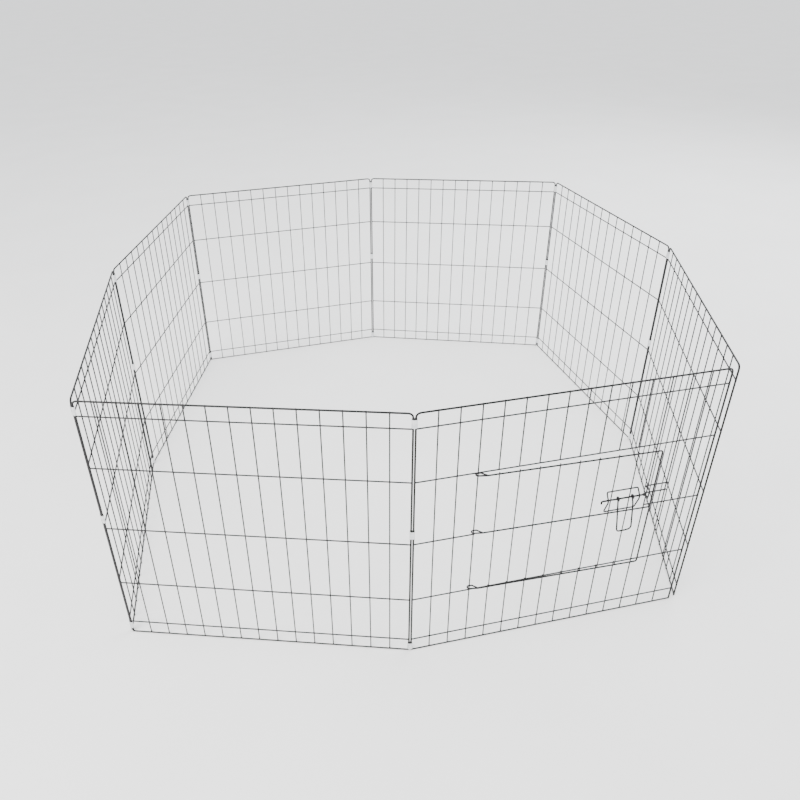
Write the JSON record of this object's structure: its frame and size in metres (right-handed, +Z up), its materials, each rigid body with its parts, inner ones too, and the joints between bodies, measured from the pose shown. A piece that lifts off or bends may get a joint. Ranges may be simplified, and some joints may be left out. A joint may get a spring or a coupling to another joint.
{
  "type": "pet playpen",
  "caption": "Folding pet playpen of welded black wire panels clipped edge to edge in a ring, with a small hinged door and sliding bolt latch in the front panel.",
  "frame": {"origin": "middle of the standing pen's bounding box, on the floor", "axes": "+Z up; X runs along the front panel that holds the door; -Y is outside the pen, the side the door and its latch are on"},
  "size_m": [1.4386, 1.443, 0.61],
  "materials": {
    "wire_coating": "black baked coating on steel wire, slightly glossy",
    "clip_metal": "bright zinc plated sheet steel"
  },
  "bodies": {
    "front_panel": {"door_panel": "wire_coating", "latch_keeper": "wire_coating"},
    "door": {"door_leaf": "wire_coating", "latch_guide": "wire_coating"},
    "bolt": {"latch_bolt": "wire_coating"},
    "handle": {"latch_handle": "wire_coating"},
    "corner_1": {"corner_1_clip_bottom": "clip_metal", "corner_1_clip_middle": "clip_metal", "corner_1_clip_top": "clip_metal"},
    "panel_2": {"panel_2": "wire_coating"},
    "corner_2": {"corner_2_clip_bottom": "clip_metal", "corner_2_clip_middle": "clip_metal", "corner_2_clip_top": "clip_metal"},
    "panel_3": {"panel_3": "wire_coating"},
    "corner_3": {"corner_3_clip_bottom": "clip_metal", "corner_3_clip_middle": "clip_metal", "corner_3_clip_top": "clip_metal"},
    "panel_4": {"panel_4": "wire_coating"},
    "corner_4": {"corner_4_clip_bottom": "clip_metal", "corner_4_clip_middle": "clip_metal", "corner_4_clip_top": "clip_metal"},
    "panel_5": {"panel_5": "wire_coating"},
    "corner_5": {"corner_5_clip_bottom": "clip_metal", "corner_5_clip_middle": "clip_metal", "corner_5_clip_top": "clip_metal"},
    "panel_6": {"panel_6": "wire_coating"},
    "corner_6": {"corner_6_clip_bottom": "clip_metal", "corner_6_clip_middle": "clip_metal", "corner_6_clip_top": "clip_metal"},
    "panel_7": {"panel_7": "wire_coating"},
    "corner_7": {"corner_7_clip_bottom": "clip_metal", "corner_7_clip_middle": "clip_metal", "corner_7_clip_top": "clip_metal"},
    "panel_8": {"panel_8": "wire_coating"}
  },
  "joints": [
    {"name": "door_swing", "type": "hinge", "parent": "front_panel", "child": "door", "pos_m": [-0.00693, -0.69179, 0.3], "axis": [0, 0, -1], "range_deg": [0, 150]},
    {"name": "bolt_slide", "type": "slide", "parent": "door", "child": "bolt", "axis": [1, 0, 0], "range_m": [-0.008, 0.0065]},
    {"name": "handle_lift", "type": "hinge", "parent": "bolt", "child": "handle", "pos_m": [0.30407, -0.70404, 0.3423], "axis": [-1, 0, 0], "range_deg": [-12.5, 100]},
    {"name": "fold_1a", "type": "hinge", "parent": "front_panel", "child": "corner_1", "pos_m": [-0.12893, -0.69274, 0.3], "axis": [0, 0, 1], "range_deg": [0, 14]},
    {"name": "fold_1b", "type": "hinge", "parent": "corner_1", "child": "panel_2", "pos_m": [-0.13367, -0.69199, 0.3], "axis": [0, 0, 1], "range_deg": [0, 14]},
    {"name": "fold_2a", "type": "hinge", "parent": "panel_2", "child": "corner_2", "pos_m": [-0.71381, -0.50349, 0.3], "axis": [0, 0, 1], "range_deg": [0, 42.5]},
    {"name": "fold_2b", "type": "hinge", "parent": "corner_2", "child": "panel_3", "pos_m": [-0.71653, -0.49953, 0.3], "axis": [0, 0, 1], "range_deg": [0, 42.5]},
    {"name": "fold_3a", "type": "hinge", "parent": "panel_3", "child": "corner_3", "pos_m": [-0.68461, 0.10963, 0.3], "axis": [0, 0, 1], "range_deg": [0, 12.5]},
    {"name": "fold_3b", "type": "hinge", "parent": "corner_3", "child": "panel_4", "pos_m": [-0.68373, 0.11435, 0.3], "axis": [0, 0, 1], "range_deg": [0, 12.5]},
    {"name": "fold_4a", "type": "hinge", "parent": "panel_4", "child": "corner_4", "pos_m": [-0.49523, 0.6945, 0.3], "axis": [0, 0, 1], "range_deg": [0, 40]},
    {"name": "fold_4b", "type": "hinge", "parent": "corner_4", "child": "panel_5", "pos_m": [-0.4914, 0.69739, 0.3], "axis": [0, 0, 1], "range_deg": [0, 40]},
    {"name": "fold_5a", "type": "hinge", "parent": "panel_5", "child": "corner_5", "pos_m": [0.11823, 0.71867, 0.3], "axis": [0, 0, 1], "range_deg": [0, 16.5]},
    {"name": "fold_5b", "type": "hinge", "parent": "corner_5", "child": "panel_6", "pos_m": [0.12296, 0.71788, 0.3], "axis": [0, 0, 1], "range_deg": [0, 16.5]},
    {"name": "fold_6a", "type": "hinge", "parent": "panel_6", "child": "corner_6", "pos_m": [0.69245, 0.49928, 0.3], "axis": [0, 0, 1], "range_deg": [0, 38.5]},
    {"name": "fold_6b", "type": "hinge", "parent": "corner_6", "child": "panel_7", "pos_m": [0.69524, 0.49537, 0.3], "axis": [0, 0, 1], "range_deg": [0, 38.5]},
    {"name": "fold_7a", "type": "hinge", "parent": "panel_7", "child": "corner_7", "pos_m": [0.71652, -0.11426, 0.3], "axis": [0, 0, 1], "range_deg": [0, 16.5]},
    {"name": "fold_7b", "type": "hinge", "parent": "corner_7", "child": "panel_8", "pos_m": [0.71573, -0.11899, 0.3], "axis": [0, 0, 1], "range_deg": [0, 16.5]}
  ]
}
